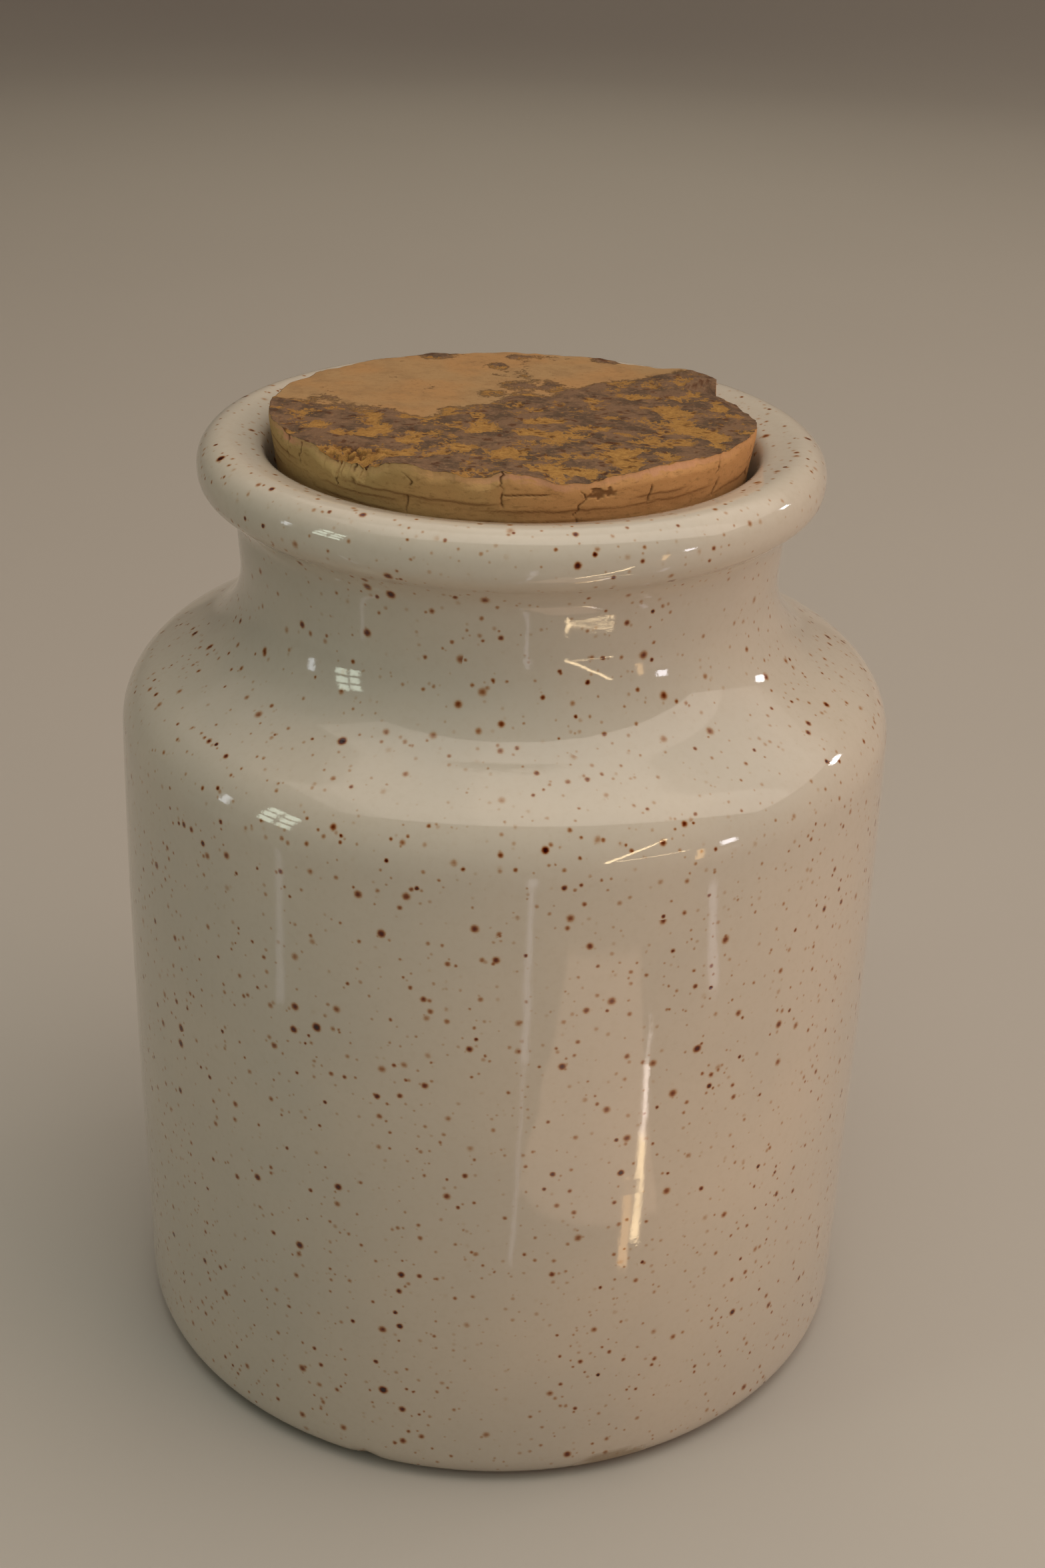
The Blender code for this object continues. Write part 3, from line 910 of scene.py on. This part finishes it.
def floor_glint(name, start, end, width, power, colour):
    """A thin strip lying on the floor and shining up, which shows in the jar's gloss as a streak."""
    start, end = Vector((*start, GLINT_Z)), Vector((*end, GLINT_Z))
    middle, along = (start + end) / 2, end - start
    above = middle + Vector((0.0, 0.0, 1.0))
    light = area_light(name, middle, above, along.length, width, power, colour)
    light.rotation_euler = Matrix.Rotation(math.atan2(along.y, along.x), 3, "Z").to_4x4().to_euler()
    light.rotation_euler.rotate_axis("X", math.pi)


def near_glint(name, start, end, target, width, power, colour):
    """A thin strip close to the jar, facing the target, which shows in gloss only."""
    start, end, target = Vector(start), Vector(end), Vector(target)
    middle = (start + end) / 2
    light = area_light(name, middle, target, (end - start).length, width, power, colour)
    across, back = (end - start).normalized(), (middle - target).normalized()
    above = back.cross(across).normalized()
    light.rotation_euler = Matrix((across, above, across.cross(above))).transposed().to_euler()
    light.visible_diffuse = False


def overhead_panel(colour):
    """Layers a little apart, which add up to a panel that fades at its left and back."""
    for number, (left, back, watts_per_m2) in enumerate(PANEL_LAYERS):
        width, depth = PANEL_RIGHT_X - left, back - PANEL_FRONT_Y
        middle_x, middle_y = (PANEL_RIGHT_X + left) / 2, (back + PANEL_FRONT_Y) / 2
        place = (middle_x, middle_y, PANEL_Z + PANEL_GAP * number)
        target = (middle_x, middle_y, 0.0)
        power = watts_per_m2 * width * depth
        area_light("overhead_layer_%d" % number, place, target, width, depth, power, colour)


def window(colour):
    """The panes of a window at the left."""
    x, first_y, first_z = WINDOW_PLACE
    step_y, step_z = WINDOW_STEPS
    for column in range(WINDOW_COLUMNS):
        for row in range(WINDOW_ROWS):
            place = (x, first_y + step_y * column, first_z + step_z * row)
            name = "window_pane_%d_%d" % (column, row)
            area_light(name, place, AIM, PANE_W, PANE_H, PANE_WATTS, colour)


def make_world():
    """A faint light from all round."""
    world = bpy.data.worlds.new("room")
    world.use_nodes = True
    background = world.node_tree.nodes["Background"]
    background.inputs["Color"].default_value = (0.52, 0.56, 0.49, 1.0)
    background.inputs["Strength"].default_value = 0.03
    bpy.context.scene.world = world


def make_lights():
    overhead_panel(WARM_WHITE)
    for name, place, width, height, power, colour in FILLS:
        fill_light(name, place, AIM, width, height, power, colour)
    window(DAYLIGHT)
    for name, place, width, height, power, colour in PANES:
        area_light(name, place, AIM, width, height, power, colour)
    for name, start, end, width, power, colour in FLOOR_GLINTS:
        floor_glint(name, start, end, width, power, colour)
    for name, start, end, target, width, power in NEAR_GLINTS:
        near_glint(name, start, end, target, width, power, LAMP)


def make_camera():
    """A 50 mm view from in front and above, turned as a hand-held camera is."""
    pitch, roll, yaw = CAMERA_PITCH, CAMERA_ROLL, CAMERA_YAW
    forward = Vector((math.sin(yaw) * math.cos(pitch), math.cos(yaw) * math.cos(pitch), -math.sin(pitch)))
    right = Vector((math.cos(yaw), -math.sin(yaw), 0.0))
    up = right.cross(forward)
    across = right * math.cos(roll) + up * math.sin(roll)
    above = up * math.cos(roll) - right * math.sin(roll)
    data = bpy.data.cameras.new("camera")
    data.lens = LENS
    data.sensor_width = FILM_WIDTH
    data.sensor_fit = "AUTO"
    data.clip_start, data.clip_end = 0.01, 20.0
    camera = bpy.data.objects.new("camera", data)
    turn = Matrix((across, above, -forward)).transposed()
    camera.matrix_world = Matrix.Translation(CAMERA_PLACE) @ turn.to_4x4()
    bpy.context.scene.collection.objects.link(camera)
    bpy.context.scene.camera = camera


def main():
    bpy.context.scene.view_settings.view_transform = "Standard"
    make_camera()
    make_world()
    make_lights()
    make_stage(painted_floor())
    jar = make_jar(speckled_glaze())
    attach(jar, "jar")
    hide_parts("jar")
    cork = make_cork(natural_cork())
    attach(cork, "cork_stopper")
    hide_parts("cork_stopper")


main()
